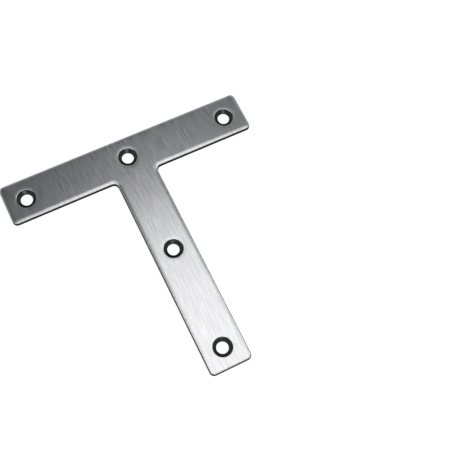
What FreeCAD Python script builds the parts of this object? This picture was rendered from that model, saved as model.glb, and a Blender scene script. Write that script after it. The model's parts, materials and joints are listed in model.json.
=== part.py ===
import FreeCAD, Part
import math
import os

import Sketcher

# A flat T-shaped mending plate, blanked from one sheet of steel, with five countersunk screw holes.
# The crossbar runs along X and the stem points to -Y. The countersinks face +Z.
# The origin is on the back face, in the middle of the plate's bounding box.

SIZES = (
    ("crossbar_span", 120.0, "length of the crossbar from end to end"),
    ("plate_reach", 120.0, "from the crossbar's far edge to the end of the stem"),
    ("crossbar_width", 20.0, "width of the crossbar"),
    ("stem_width", 20.0, "width of the stem"),
    ("sheet_gauge", 2.0, "thickness of the sheet"),
    ("face_corner_radius", 0.15, "outer corners of the flat face, inside the rolled edge"),
    ("neck_radius", 2.4, "inner corners where the stem meets the crossbar"),
    ("edge_roll_width", 2.1, "width of the edge that the punch rolled over"),
    ("edge_roll_depth", 0.1, "how far the rolled edge dips below the face, not counting its shoulder"),
    ("edge_shoulder_radius", 0.75, "where the rolled edge turns into the wall"),
    ("back_edge_radius", 0.2, "tumbled edge round the back face"),
    ("end_hole_inset", 9.8, "from each end of the crossbar to its hole"),
    ("foot_hole_inset", 9.8, "from the end of the stem to its hole"),
    ("bore_diameter", 5.6, "clear hole for the screw's shank"),
    ("bore_land", 0.6, "straight wall left below the countersink"),
    ("countersink_angle", 106.0, "full angle of the countersink's cone, in degrees"),
    ("rim_roll_radius", 0.45, "where the countersink turns out into the face"),
    ("dish_width", 1.25, "ring of the face that was drawn in as the countersink was pressed"),
    ("dish_depth", 0.03, "how far that ring dips at the countersink's rim"),
    ("cut_overrun", 0.5, "how far a cut runs past the faces"),
)

CROSSBAR_HOLES = 3
STEM_HOLES = 2

# Lengths that follow from the sizes, for the features that share them
HALF_SPAN = "sizes.crossbar_span / 2"
HALF_REACH = "sizes.plate_reach / 2"
HALF_STEM = "sizes.stem_width / 2"
CORNER_RADIUS = "sizes.face_corner_radius + sizes.edge_roll_width"
EDGE_FALL = "sizes.edge_roll_depth + sizes.edge_shoulder_radius"
CROSSBAR_AXIS = "sizes.plate_reach / 2 - sizes.crossbar_width / 2"
END_HOLE = "sizes.crossbar_span / 2 - sizes.end_hole_inset"
FOOT_HOLE = "sizes.plate_reach / 2 - sizes.foot_hole_inset"
CROSSBAR_SPREAD = "sizes.crossbar_span - 2 * sizes.end_hole_inset"
STEM_SPREAD = "(sizes.plate_reach - sizes.crossbar_width / 2 - sizes.foot_hole_inset) / 2"

# The points of a sketch edge, and a sketch's own axes and origin, as the sketcher numbers them
START, END, CENTRE = range(1, 4)
LEVEL_AXIS, UPRIGHT_AXIS = range(-1, -3, -1)
ORIGIN = (LEVEL_AXIS, START)

# An edge that strays less than this from an axis or a plane lies in it, in mm
ON_LINE = 1e-6

# Any real cut takes away more than this, in cubic millimetres
LEAST_CUT = 0.1

doc = FreeCAD.newDocument("t_plate")

sheet = doc.addObject("Spreadsheet::Sheet", "sizes")
for row, (alias, number, meaning) in enumerate(SIZES, start=1):
    sheet.set(f"A{row}", meaning)
    sheet.set(f"B{row}", str(number))
    sheet.setAlias(f"B{row}", alias)
doc.recompute()

plate = doc.addObject("PartDesign::Body", "t_plate")
plate.Label = "t_plate"


def size(alias):
    """A size as it stands in the sheet."""
    return float(getattr(sheet, alias))


def origin_part(role):
    """The plane or axis of the plate's own origin that has this role."""
    return next(item for item in plate.Origin.OriginFeatures if item.Role == role)


def new_sketch(name, plane):
    sketch = plate.newObject("Sketcher::SketchObject", name)
    sketch.AttachmentSupport = [(origin_part(plane), "")]
    sketch.MapMode = "FlatFace"
    return sketch


def point(across, up):
    """A point of a sketch."""
    return FreeCAD.Vector(across, up, 0)


def add_line(sketch, start, end):
    """Draw a line. One that is drawn level or upright stays so."""
    line = sketch.addGeometry(Part.LineSegment(start, end))
    run = end - start
    if abs(run.y) < ON_LINE:
        sketch.addConstraint(Sketcher.Constraint("Horizontal", line))
    elif abs(run.x) < ON_LINE:
        sketch.addConstraint(Sketcher.Constraint("Vertical", line))
    return line


def add_arc(sketch, centre, radius, start_angle, end_angle):
    """Draw an arc that runs anticlockwise from one angle to the other, in degrees."""
    circle = Part.Circle(centre, FreeCAD.Vector(0, 0, 1), radius)
    return sketch.addGeometry(Part.ArcOfCircle(circle, math.radians(start_angle), math.radians(end_angle)))


def tie(sketch, kind, first, second):
    """Relate two points of a sketch to each other, with no size."""
    sketch.addConstraint(Sketcher.Constraint(kind, *first, *second))


def hold_distance(sketch, kind, first, second, expression):
    """Hold the distance between two points at what the sheet says, starting from what is drawn."""
    between = sketch.getPoint(*second) - sketch.getPoint(*first)
    drawn = between.x if kind == "DistanceX" else between.y
    index = sketch.addConstraint(Sketcher.Constraint(kind, *first, *second, drawn))
    sketch.setExpression(f"Constraints[{index}]", expression)


def hold_radius(sketch, arc, expression):
    index = sketch.addConstraint(Sketcher.Constraint("Radius", arc, sketch.Geometry[arc].Radius))
    sketch.setExpression(f"Constraints[{index}]", expression)


def draw_outline(start, corners):
    """Draw a closed path of square turns, each with its radius, and return its lines and arcs too."""
    sketch = new_sketch("outline", "XY_Plane")
    stops = [start] + [corner for corner, radius in corners] + [start]
    lines, arcs, arc_ends = [], [], []
    for before, (corner, radius), after in zip(stops, corners, stops[2:]):
        arriving = (corner - before).normalize()
        leaving = (after - corner).normalize()
        centre = corner + (leaving - arriving) * radius
        turns_left = arriving.cross(leaving).z > 0
        first_spoke = leaving * -1 if turns_left else arriving
        start_angle = math.degrees(math.atan2(first_spoke.y, first_spoke.x))
        lines.append(add_line(sketch, start, corner - arriving * radius))
        arcs.append(add_arc(sketch, centre, radius, start_angle, start_angle + 90))
        arc_ends.append((START, END) if turns_left else (END, START))
        start = corner + leaving * radius
    lines.append(add_line(sketch, start, stops[-1]))
    for arc, (entry, leave), line, next_line in zip(arcs, arc_ends, lines, lines[1:]):
        tie(sketch, "Tangent", (line, END), (arc, entry))
        tie(sketch, "Tangent", (arc, leave), (next_line, START))
    tie(sketch, "Coincident", (lines[-1], END), (lines[0], START))
    return sketch, lines, arcs


# Outline of the blank, anticlockwise from the middle of the far edge
half_span = size("crossbar_span") / 2
half_reach = size("plate_reach") / 2
half_stem = size("stem_width") / 2
arm_edge = half_reach - size("crossbar_width")
corner_radius = size("face_corner_radius") + size("edge_roll_width")
neck_radius = size("neck_radius")

outline, lines, arcs = draw_outline(
    point(0, half_reach),
    (
        (point(-half_span, half_reach), corner_radius),
        (point(-half_span, arm_edge), corner_radius),
        (point(-half_stem, arm_edge), neck_radius),
        (point(-half_stem, -half_reach), corner_radius),
        (point(half_stem, -half_reach), corner_radius),
        (point(half_stem, arm_edge), neck_radius),
        (point(half_span, arm_edge), corner_radius),
        (point(half_span, half_reach), corner_radius),
    ),
)
far_left, left_end, left_arm, stem_left, foot, stem_right, right_arm, right_end, far_right = lines
neck_left, neck_right = arcs[2], arcs[5]

outline.addConstraint(Sketcher.Constraint("PointOnObject", far_left, START, UPRIGHT_AXIS))
hold_distance(outline, "DistanceY", ORIGIN, (far_left, START), HALF_REACH)
hold_distance(outline, "DistanceY", (foot, START), ORIGIN, HALF_REACH)
hold_distance(outline, "DistanceX", (left_end, START), ORIGIN, HALF_SPAN)
hold_distance(outline, "DistanceX", ORIGIN, (right_end, START), HALF_SPAN)
hold_distance(outline, "DistanceX", (stem_left, START), ORIGIN, HALF_STEM)
hold_distance(outline, "DistanceX", ORIGIN, (stem_right, START), HALF_STEM)
for arm in (left_arm, right_arm):
    hold_distance(outline, "DistanceY", (arm, START), (far_left, START), "sizes.crossbar_width")
for arc in arcs:
    hold_radius(outline, arc, "sizes.neck_radius" if arc in (neck_left, neck_right) else CORNER_RADIUS)

blank = plate.newObject("PartDesign::Pad", "blank")
blank.Profile = outline
blank.setExpression("Length", "sizes.sheet_gauge")
doc.recompute()

# Tumbled edge all round the back face
back_edges = [
    f"Edge{number}"
    for number, edge in enumerate(blank.Shape.Edges, start=1)
    if edge.BoundBox.ZMax < ON_LINE
]
back_edge = plate.newObject("PartDesign::Fillet", "back_edge")
back_edge.Base = (blank, back_edges)
back_edge.setExpression("Radius", "sizes.back_edge_radius")

# Section of what the punch rolled off the face's edge, drawn at the middle of the far edge.
# A wide shallow arc leaves the face level and runs into a small shoulder, which ends upright in the wall.
gauge = size("sheet_gauge")
roll_width = size("edge_roll_width")
roll_depth = size("edge_roll_depth")
shoulder = size("edge_shoulder_radius")
overrun = size("cut_overrun")
sweep_reach = roll_width - shoulder
sweep_radius = (sweep_reach**2 + roll_depth**2) / (2 * roll_depth) + shoulder
sweep_end = 90 - math.degrees(math.asin(sweep_reach / (sweep_radius - shoulder)))
roll_start = half_reach - roll_width
wall_top = gauge - roll_depth - shoulder

edge_section = new_sketch("edge_section", "YZ_Plane")
sweep = add_arc(edge_section, point(roll_start, gauge - sweep_radius), sweep_radius, sweep_end, 90)
bend = add_arc(edge_section, point(half_reach - shoulder, wall_top), shoulder, 0, sweep_end)
ring = [
    point(half_reach, wall_top),
    point(half_reach + overrun, wall_top),
    point(half_reach + overrun, gauge + overrun),
    point(roll_start, gauge + overrun),
    point(roll_start, gauge),
]
ledge, outside, above, inside = [add_line(edge_section, a, b) for a, b in zip(ring, ring[1:])]
tie(edge_section, "Tangent", (sweep, START), (bend, END))
tie(edge_section, "Coincident", (bend, START), (ledge, START))
tie(edge_section, "Coincident", (ledge, END), (outside, START))
tie(edge_section, "Coincident", (outside, END), (above, START))
tie(edge_section, "Coincident", (above, END), (inside, START))
tie(edge_section, "Coincident", (inside, END), (sweep, END))
tie(edge_section, "Vertical", (sweep, END), (sweep, CENTRE))
tie(edge_section, "Horizontal", (bend, START), (bend, CENTRE))
hold_distance(edge_section, "DistanceX", ORIGIN, (bend, START), HALF_REACH)
hold_distance(edge_section, "DistanceY", ORIGIN, (sweep, END), "sizes.sheet_gauge")
hold_distance(edge_section, "DistanceX", (sweep, END), (bend, START), "sizes.edge_roll_width")
hold_distance(edge_section, "DistanceY", (bend, START), (sweep, END), EDGE_FALL)
hold_radius(edge_section, bend, "sizes.edge_shoulder_radius")
hold_distance(edge_section, "DistanceX", (ledge, START), (ledge, END), "sizes.cut_overrun")
hold_distance(edge_section, "DistanceY", (inside, END), (inside, START), "sizes.cut_overrun")

rolled_edge = plate.newObject("PartDesign::SubtractivePipe", "rolled_edge")
rolled_edge.Profile = edge_section
rolled_edge.Spine = (outline, [f"Edge{number + 1}" for number in range(len(lines) + len(arcs))])
doc.recompute()


def screw_hole(name, across, up):
    """Cut one countersunk hole at a place on the face: a straight land, a cone, a rim and a shallow dish."""
    bore = size("bore_diameter") / 2
    land = size("bore_land")
    half_cone = math.radians(size("countersink_angle") / 2)
    rim = size("rim_roll_radius")
    dish_width = size("dish_width")
    dish_depth = size("dish_depth")
    dish_radius = (dish_width**2 + dish_depth**2) / (2 * dish_depth)
    dish_tilt = math.asin(dish_width / dish_radius)
    cone_tilt = math.pi / 2 - half_cone
    dish_foot = gauge - dish_depth
    cone_top = dish_foot - rim * (math.cos(dish_tilt) - math.cos(cone_tilt))
    cone_mouth = bore + (cone_top - land) * math.tan(half_cone)
    rim_mouth = cone_mouth + rim * (math.sin(cone_tilt) - math.sin(dish_tilt))
    dish_mouth = rim_mouth + dish_width
    rim_centre = point(rim_mouth + rim * math.sin(dish_tilt), dish_foot - rim * math.cos(dish_tilt))

    section = new_sketch(name + "_section", "XZ_Plane")
    section.setExpression("AttachmentOffset.Base.x", across)
    section.setExpression("AttachmentOffset.Base.z", up)
    foot = point(0, -overrun)
    ring = [foot, point(bore, -overrun), point(bore, land), point(cone_mouth, cone_top)]
    below, wall, cone = [add_line(section, a, b) for a, b in zip(ring, ring[1:])]
    dish_turn, cone_turn = 90 + math.degrees(dish_tilt), 90 + math.degrees(cone_tilt)
    roll = add_arc(section, rim_centre, rim, dish_turn, cone_turn)
    dish = add_arc(section, point(dish_mouth, gauge - dish_radius), dish_radius, 90, dish_turn)
    ring = [point(dish_mouth, gauge), point(dish_mouth, gauge + overrun), point(0, gauge + overrun), foot]
    outside, above, middle = [add_line(section, a, b) for a, b in zip(ring, ring[1:])]
    tie(section, "Coincident", (below, END), (wall, START))
    tie(section, "Coincident", (wall, END), (cone, START))
    tie(section, "Tangent", (cone, END), (roll, END))
    tie(section, "Tangent", (roll, START), (dish, END))
    tie(section, "Coincident", (dish, START), (outside, START))
    tie(section, "Vertical", (dish, START), (dish, CENTRE))
    tie(section, "Coincident", (outside, END), (above, START))
    tie(section, "Coincident", (above, END), (middle, START))
    tie(section, "Coincident", (middle, END), (below, START))
    section.addConstraint(Sketcher.Constraint("PointOnObject", below, START, UPRIGHT_AXIS))
    hold_distance(section, "DistanceX", ORIGIN, (below, END), "sizes.bore_diameter / 2")
    hold_distance(section, "DistanceY", (below, START), ORIGIN, "sizes.cut_overrun")
    hold_distance(section, "DistanceY", ORIGIN, (wall, END), "sizes.bore_land")
    hold_distance(section, "DistanceY", ORIGIN, (dish, START), "sizes.sheet_gauge")
    hold_distance(section, "DistanceX", (dish, END), (dish, START), "sizes.dish_width")
    hold_distance(section, "DistanceY", (dish, END), (dish, START), "sizes.dish_depth")
    hold_distance(section, "DistanceY", (outside, START), (outside, END), "sizes.cut_overrun")
    hold_radius(section, roll, "sizes.rim_roll_radius")
    lean = section.addConstraint(Sketcher.Constraint("Angle", cone, cone_tilt))
    section.setExpression(f"Constraints[{lean}]", "90 - sizes.countersink_angle / 2")

    hole = plate.newObject("PartDesign::Groove", name)
    hole.Profile = section
    hole.ReferenceAxis = (section, ["V_Axis"])
    hole.Angle = 360
    doc.recompute()
    return hole


def row_of_holes(name, first, axis, count, spread):
    """Repeat a hole along an axis, evenly over the spread from the first hole to the last."""
    row = plate.newObject("PartDesign::LinearPattern", name)
    row.Originals = [first]
    row.Direction = (origin_part(axis), [""])
    row.Mode = "Extent"
    row.Occurrences = count
    row.setExpression("Length", spread)
    plate.Tip = row
    doc.recompute()
    return row


# One row of holes along the crossbar's middle line from its left end, and one up the stem from its foot
end_hole = screw_hole("end_hole", f"-({END_HOLE})", f"-({CROSSBAR_AXIS})")
crossbar_holes = row_of_holes("crossbar_holes", end_hole, "X_Axis", CROSSBAR_HOLES, CROSSBAR_SPREAD)
foot_hole = screw_hole("foot_hole", "0", FOOT_HOLE)
stem_holes = row_of_holes("stem_holes", foot_hole, "Y_Axis", STEM_HOLES, STEM_SPREAD)

# Every feature has to have worked, and each one after the blank has to have taken metal away
failed = [item.Name for item in doc.Objects if {"Invalid", "Error"} & set(item.State)]
if failed:
    raise RuntimeError("These did not work: " + ", ".join(failed))
steps = (blank, back_edge, rolled_edge, end_hole, crossbar_holes, foot_hole, stem_holes)
for before, after in zip(steps, steps[1:]):
    if after.Shape.Volume > before.Shape.Volume - LEAST_CUT:
        raise RuntimeError(f"{after.Name} takes nothing away")
if plate.Shape.isNull() or not plate.Shape.isValid() or len(plate.Shape.Solids) != 1:
    raise RuntimeError("The plate is not one sound solid")

os.makedirs("parts", exist_ok=True)
plate.Shape.exportStep(f"parts/{plate.Label}.step")
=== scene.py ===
import json
import math

import bpy
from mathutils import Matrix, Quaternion, Vector

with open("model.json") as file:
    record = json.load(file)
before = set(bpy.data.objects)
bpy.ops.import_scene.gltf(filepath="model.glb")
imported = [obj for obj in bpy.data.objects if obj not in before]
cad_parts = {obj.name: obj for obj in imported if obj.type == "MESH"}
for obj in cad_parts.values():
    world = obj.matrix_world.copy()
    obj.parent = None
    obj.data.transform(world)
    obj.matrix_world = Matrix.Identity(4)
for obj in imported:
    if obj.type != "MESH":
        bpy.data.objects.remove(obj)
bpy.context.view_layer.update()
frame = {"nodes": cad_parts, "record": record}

# The plate: one T-shaped blank of 2 mm stainless sheet with five pressed screw holes. The sheet was brushed
# along the stem before it was punched. The punch rolled the face's edge over and left the wall sheared and
# dull, and tumbling took the sharpness off. Its walls and countersinks are coloured far darker than steel
# is: painted shade, for the dark that they mirror.
MM = 0.001
BRIGHT_METAL = "#E2E2E3"
STREAK_METAL = "#B7B7B8"
# The countersinks and the walls are painted shade: far darker than the steel that they are made of.
COUNTERSINK_PAINTED_SHADE = "#363637"
WALL_PAINTED_SHADE = "#222224"

# The steel mirrors less at a glancing angle than straight on, so that its rolled edges don't glare.
GLANCING_METAL = "#A0A0A0"

# The brushed face is satin, a little rougher in its lighter streaks. The sheared wall is dull.
LEAST_ROUGHNESS = 0.235
MOST_ROUGHNESS = 0.275
SHEARED_ROUGHNESS = 0.55

# Real streaks of the belt are about 0.2 mm wide. They are drawn 0.7 mm wide, so that they show at this size.
STREAK_WIDTH = 0.7 * MM
STREAK_LENGTH = 9 * MM
STREAK_DETAIL = 1.0

# The grain between the streaks is finer than a pixel. Its relief is faint and only softens what it mirrors.
GRAIN_WIDTH = 0.25 * MM
GRAIN_LENGTH = 30 * MM
GRAIN_DETAIL = 2.0
GRAIN_DEPTH = 0.002 * MM
GRAIN_STRENGTH = 0.1

# A countersink is what slopes within this distance of a screw hole's axis. The sheared wall is what stands
# upright elsewhere. Both are told by how level the surface is, from 1 on the flat face to 0 on the wall.
HOLE_REACH = 6 * MM
LEVEL_WHERE_CONE_BEGINS = 0.95
LEVEL_ON_CONE = 0.82
LEVEL_WHERE_WALL_BEGINS = 0.97
LEVEL_ON_WALL = 0.66


def linear(colour):
    """An sRGB hex colour as the linear RGBA that the nodes take."""
    parts = [int(colour[i : i + 2], 16) / 255 for i in (1, 3, 5)]
    return (*(p / 12.92 if p <= 0.04045 else ((p + 0.055) / 1.055) ** 2.4 for p in parts), 1.0)


def add_node(tree, kind, inputs=None, **settings):
    """Add a node with its settings. An input takes a value, or the output socket that feeds it."""
    node = tree.nodes.new(kind)
    for name, value in settings.items():
        setattr(node, name, value)
    for name, value in (inputs or {}).items():
        if isinstance(value, bpy.types.NodeSocket):
            tree.links.new(value, node.inputs[name])
        else:
            node.inputs[name].default_value = value
    return node


def near_a_screw_hole(tree, place):
    """1 within reach of a screw hole's axis, and 0 everywhere else."""
    flattened = add_node(
        tree, "ShaderNodeVectorMath", {0: place.outputs["Object"], 1: (1, 1, 0)}, operation="MULTIPLY"
    )
    nearest = HOLE_REACH
    for mount in frame["record"]["mounts"]:
        if mount["kind"] == "bore":
            axis_at = (mount["pos_m"][0], mount["pos_m"][1], 0)
            away = add_node(
                tree, "ShaderNodeVectorMath", {0: flattened.outputs[0], 1: axis_at}, operation="DISTANCE"
            )
            closer = add_node(
                tree, "ShaderNodeMath", {0: away.outputs["Value"], 1: nearest}, operation="MINIMUM"
            )
            nearest = closer.outputs[0]
    near = add_node(tree, "ShaderNodeMath", {0: nearest, 1: HOLE_REACH}, operation="LESS_THAN")
    return near.outputs[0]


def belt_marks(tree, place, width, length, detail):
    """Marks drawn out along the stem, as the brushing belt leaves them, from 0 to 1."""
    drawn_out = add_node(
        tree, "ShaderNodeVectorMath",
        {0: place.outputs["Object"], 1: (1 / width, 1 / length, 1 / width)},
        operation="MULTIPLY",
    )
    marks = add_node(
        tree, "ShaderNodeTexNoise", {"Vector": drawn_out.outputs[0], "Scale": 1.0, "Detail": detail}
    )
    return marks.outputs["Fac"]


def brushed_stainless_steel():
    """Stainless steel, brushed with a belt: a soft mirror with lighter and darker streaks along the stem.

    Its punched walls and pressed countersinks are coloured nearly black beside the face: painted shade.
    """
    material = bpy.data.materials.new("brushed_stainless_steel")
    material.use_nodes = True
    tree = material.node_tree
    tree.nodes.clear()
    place = add_node(tree, "ShaderNodeTexCoord")
    facing = add_node(tree, "ShaderNodeSeparateXYZ", {"Vector": place.outputs["Normal"]})
    level = add_node(tree, "ShaderNodeMath", {0: facing.outputs["Z"]}, operation="ABSOLUTE")

    by_a_hole = near_a_screw_hole(tree, place)
    sloping = add_node(
        tree, "ShaderNodeMapRange",
        {
            "Value": level.outputs[0],
            "From Min": LEVEL_ON_CONE, "From Max": LEVEL_WHERE_CONE_BEGINS,
            "To Min": 1.0, "To Max": 0.0,
        },
    )
    countersink_shade = add_node(tree, "ShaderNodeMath", {0: sloping.outputs[0], 1: by_a_hole}, operation="MULTIPLY")

    elsewhere = add_node(tree, "ShaderNodeMath", {0: 1.0, 1: by_a_hole}, operation="SUBTRACT")
    upright = add_node(
        tree, "ShaderNodeMapRange",
        {
            "Value": level.outputs[0],
            "From Min": LEVEL_ON_WALL, "From Max": LEVEL_WHERE_WALL_BEGINS,
            "To Min": 1.0, "To Max": 0.0,
        },
    )
    dull_wall_and_painted_shade = add_node(
        tree, "ShaderNodeMath", {0: upright.outputs[0], 1: elsewhere.outputs[0]}, operation="MULTIPLY"
    )

    streaks = belt_marks(tree, place, STREAK_WIDTH, STREAK_LENGTH, STREAK_DETAIL)
    face = add_node(
        tree, "ShaderNodeMix",
        {"Factor": streaks, "A": linear(STREAK_METAL), "B": linear(BRIGHT_METAL)},
        data_type="RGBA",
    )
    # The countersinks get painted shade, a colour far darker than the steel.
    with_countersink_shade = add_node(
        tree, "ShaderNodeMix",
        {"Factor": countersink_shade.outputs[0], "A": face.outputs["Result"], "B": linear(COUNTERSINK_PAINTED_SHADE)},
        data_type="RGBA",
    )
    # The sheared walls get painted shade too. Their dull roughness below is the wall's own.
    with_wall_shade = add_node(
        tree, "ShaderNodeMix",
        {"Factor": dull_wall_and_painted_shade.outputs[0], "A": with_countersink_shade.outputs["Result"], "B": linear(WALL_PAINTED_SHADE)},
        data_type="RGBA",
    )

    face_roughness = add_node(
        tree, "ShaderNodeMapRange",
        {"Value": streaks, "To Min": LEAST_ROUGHNESS, "To Max": MOST_ROUGHNESS},
    )
    roughness = add_node(
        tree, "ShaderNodeMix",
        {"Factor": dull_wall_and_painted_shade.outputs[0], "A": face_roughness.outputs[0], "B": SHEARED_ROUGHNESS},
        data_type="FLOAT",
    )

    grain = belt_marks(tree, place, GRAIN_WIDTH, GRAIN_LENGTH, GRAIN_DETAIL)
    relief = add_node(
        tree, "ShaderNodeBump", {"Height": grain, "Distance": GRAIN_DEPTH, "Strength": GRAIN_STRENGTH}
    )
    steel = add_node(
        tree, "ShaderNodeBsdfPrincipled",
        {
            "Base Color": with_wall_shade.outputs["Result"],
            "Metallic": 1.0,
            "Roughness": roughness.outputs["Result"],
            "Specular Tint": linear(GLANCING_METAL),
            "Normal": relief.outputs[0],
        },
    )
    add_node(tree, "ShaderNodeOutputMaterial", {"Surface": steel.outputs[0]})
    return material


plate = frame["nodes"]["t_plate"]
plate.data.materials.clear()
plate.data.materials.append(brushed_stainless_steel())

# The floor: a sheet of matt white paper that the plate lies on. It glows a little where it is seen or
# mirrored, so that it shows as plain white, and it keeps a faint soft shadow under the plate's edge.
FLOOR_HALF_WIDTH = 4.0
PAPER = "#F4F4F4"
PAPER_ROUGHNESS = 0.9
PAPER_GLOSS = 0.1
GLOW_COLOUR = "#FFFFFF"
PAPER_GLOW = 0.5

# The floor lies this far below the plate's back, so that the two surfaces don't coincide.
FLOOR_DROP = 0.02 * MM

floor_mesh = bpy.data.meshes.new("floor")
corners = [
    (x * FLOOR_HALF_WIDTH, y * FLOOR_HALF_WIDTH, -FLOOR_DROP)
    for x, y in ((-1, -1), (1, -1), (1, 1), (-1, 1))
]
floor_mesh.from_pydata(corners, [], [(0, 1, 2, 3)])
floor = bpy.data.objects.new("floor", floor_mesh)
bpy.context.scene.collection.objects.link(floor)

paper = bpy.data.materials.new("matt_white_paper")
paper.use_nodes = True
paper_tree = paper.node_tree
paper_tree.nodes.clear()
paper_rays = add_node(paper_tree, "ShaderNodeLightPath")
seen_or_mirrored = add_node(
    paper_tree, "ShaderNodeMath",
    {0: paper_rays.outputs["Is Camera Ray"], 1: paper_rays.outputs["Is Glossy Ray"]},
    operation="MAXIMUM",
)
seen_at_all = add_node(
    paper_tree, "ShaderNodeMath",
    {0: seen_or_mirrored.outputs[0], 1: paper_rays.outputs["Is Transmission Ray"]},
    operation="MAXIMUM",
)
glow = add_node(
    paper_tree, "ShaderNodeMath", {0: seen_at_all.outputs[0], 1: PAPER_GLOW}, operation="MULTIPLY"
)
sheet = add_node(
    paper_tree, "ShaderNodeBsdfPrincipled",
    {
        "Base Color": linear(PAPER),
        "Roughness": PAPER_ROUGHNESS,
        "Specular IOR Level": PAPER_GLOSS,
        "Emission Color": linear(GLOW_COLOUR),
        "Emission Strength": glow.outputs[0],
    },
)
add_node(paper_tree, "ShaderNodeOutputMaterial", {"Surface": sheet.outputs[0]})
floor_mesh.materials.append(paper)

# The lamps: one oval softbox that hangs level overhead, and three smaller panels round it that are turned
# to the plate. The stem mirrors the softbox, and the rolled edges and countersinks catch the panels.

# Each lamp has a name, a shape, a place, a width and a depth in metres, and a brightness, where 1 is white.
LAMPS = (
    ("softbox", "ELLIPSE", (0.130, -0.010, 0.800), 0.50, 0.68, 1.55),
    ("right_panel", "RECTANGLE", (0.560, 0.000, 0.680), 0.36, 0.34, 1.70),
    ("left_panel", "RECTANGLE", (-0.300, 0.000, 0.750), 0.34, 0.34, 2.00),
    ("front_panel", "RECTANGLE", (-0.150, -0.620, 0.620), 0.34, 0.22, 4.40),
)
PLATE_MIDDLE = Vector((0.0, 0.0, 0.0))

# The share that each shape fills of the rectangle round it. A lamp's energy follows from what it fills.
SHARE_FILLED = {"ELLIPSE": math.pi / 4, "RECTANGLE": 1.0}

for name, shape, at, width, depth, brightness in LAMPS:
    light = bpy.data.lights.new(name, "AREA")
    light.shape = shape
    light.size = width
    light.size_y = depth
    light.energy = brightness * math.pi * SHARE_FILLED[shape] * width * depth
    lamp = bpy.data.objects.new(name, light)
    lamp.location = at
    if shape == "RECTANGLE":
        lamp.rotation_euler = (PLATE_MIDDLE - Vector(at)).to_track_quat("-Z", "Y").to_euler()
    lamp.visible_camera = False
    bpy.context.scene.collection.objects.link(lamp)

# The room: pale walls under a dim ceiling that is lighter towards the right. The crossbar mirrors the
# ceiling, and a plate seen from the side mirrors the walls. The camera itself sees the room as near white.
ROOM_TINT = "#F3F6FF"
PALE_WALL = 0.8
DARKEST_CEILING = 0.01
LIGHTER_TO_THE_RIGHT = (0.20, 0.03, 0.0)

# The walls fade into the ceiling between two heights of the direction looked in, where 1 is straight up.
WALL_FADES_FROM = 0.60
CEILING_FROM = 0.85

world = bpy.data.worlds.new("room")
world.use_nodes = True
bpy.context.scene.world = world
room_tree = world.node_tree
room_tree.nodes.clear()
direction = add_node(room_tree, "ShaderNodeTexCoord")
rightward = add_node(
    room_tree, "ShaderNodeVectorMath",
    {0: direction.outputs["Generated"], 1: LIGHTER_TO_THE_RIGHT},
    operation="DOT_PRODUCT",
)
ceiling = add_node(
    room_tree, "ShaderNodeMath", {0: rightward.outputs["Value"], 1: DARKEST_CEILING}, operation="MAXIMUM"
)
height = add_node(room_tree, "ShaderNodeSeparateXYZ", {"Vector": direction.outputs["Generated"]})
room_light = add_node(
    room_tree, "ShaderNodeMapRange",
    {
        "Value": height.outputs["Z"],
        "From Min": WALL_FADES_FROM, "From Max": CEILING_FROM,
        "To Min": PALE_WALL, "To Max": ceiling.outputs[0],
    },
)
room_rays = add_node(room_tree, "ShaderNodeLightPath")
shown = add_node(
    room_tree, "ShaderNodeMath",
    {0: room_light.outputs[0], 1: room_rays.outputs["Is Camera Ray"]},
    operation="MAXIMUM",
)
room = add_node(
    room_tree, "ShaderNodeBackground", {"Color": linear(ROOM_TINT), "Strength": shown.outputs[0]}
)
add_node(room_tree, "ShaderNodeOutputWorld", {"Surface": room.outputs[0]})

# The camera stands above the near left side of the plate and looks steeply down at it, turned a little
# anticlockwise. Its lens is for film 36 mm wide, and what lies between the two distances is in view.
LENS = 64.34
FILM_WIDTH = 36.0
NEAREST_IN_VIEW = 0.01
FARTHEST_IN_VIEW = 20.0
CAMERA_AT = Vector((-55.018, -111.309, 361.700)) * MM
LOOKS_AT = Vector((28.602, -5.576, 0.0)) * MM
TURN = math.radians(12.407)

camera = bpy.data.cameras.new("camera")
camera.lens = LENS
camera.sensor_width = FILM_WIDTH
camera.clip_start = NEAREST_IN_VIEW
camera.clip_end = FARTHEST_IN_VIEW
viewer = bpy.data.objects.new("camera", camera)
viewer.location = CAMERA_AT
viewer.rotation_mode = "QUATERNION"
viewer.rotation_quaternion = (LOOKS_AT - CAMERA_AT).to_track_quat("-Z", "Y") @ Quaternion((0, 0, 1), TURN)
bpy.context.scene.collection.objects.link(viewer)
bpy.context.scene.camera = viewer
bpy.context.scene.view_settings.view_transform = "Standard"
